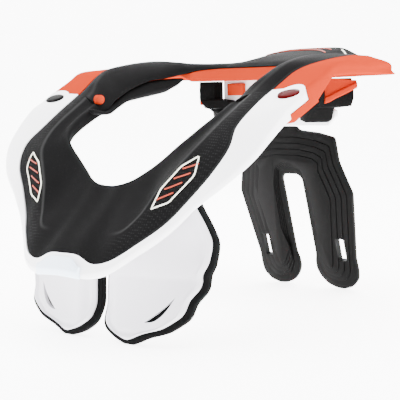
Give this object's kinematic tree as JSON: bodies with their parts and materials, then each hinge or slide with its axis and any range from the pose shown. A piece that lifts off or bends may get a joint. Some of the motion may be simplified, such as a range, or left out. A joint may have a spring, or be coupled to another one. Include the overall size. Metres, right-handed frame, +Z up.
{
  "type": "motocross neck brace",
  "caption": "Rigid two-part collar with padded tables, rear arms on side pins, chest plates in front and a forked back strut.",
  "frame": {"origin": "on the floor under the middle of the brace's bounding box, as it stands on its chest plates and back strut", "axes": "+Z up, -Y towards the chin rim, +X towards the wearer's left"},
  "size_m": [0.2774, 0.363, 0.226],
  "materials": {
    "white_shell": "satin moulded",
    "orange_shell": "satin moulded",
    "table_foam": "moulded foam, matte",
    "wing_rubber": "matte",
    "strut_black": "fine grain",
    "clear_cover": "milky clear",
    "red_cap": "translucent gloss",
    "black_cap": "gloss"
  },
  "bodies": {
    "front_half": {"front_chassis": "white_shell", "front_pad": "table_foam", "chin_cover": "clear_cover", "hinge_pin_left": "red_cap", "hinge_pin_right": "black_cap", "chest_plate_left": "white_shell", "chest_plate_right": "white_shell", "chest_pad_left": "table_foam", "chest_pad_right": "table_foam"},
    "rear_half": {"rear_chassis": "orange_shell", "rear_pad": "table_foam", "arm_pad_left": "table_foam", "arm_pad_right": "table_foam", "strut_carrier": "white_shell", "strut_clip_left": "orange_shell", "strut_clip_right": "orange_shell", "wing_pad_left": "wing_rubber", "wing_pad_right": "wing_rubber", "wing_shell_left": "orange_shell", "wing_shell_right": "orange_shell", "back_strut": "strut_black"},
    "latch": {"latch_button": "orange_shell"}
  },
  "joints": [
    {"name": "collar_opening", "type": "hinge", "parent": "front_half", "child": "rear_half", "pos_m": [0.125, -0.05993, 0.184], "axis": [0, -0.4147, 0.91], "range_deg": [-45, 0]},
    {"name": "latch_press", "type": "slide", "parent": "rear_half", "child": "latch", "axis": [-1, 0, 0], "range_m": [0, 0.0025], "stiffness_N_per_m": 600, "springref_m": -0.002}
  ]
}
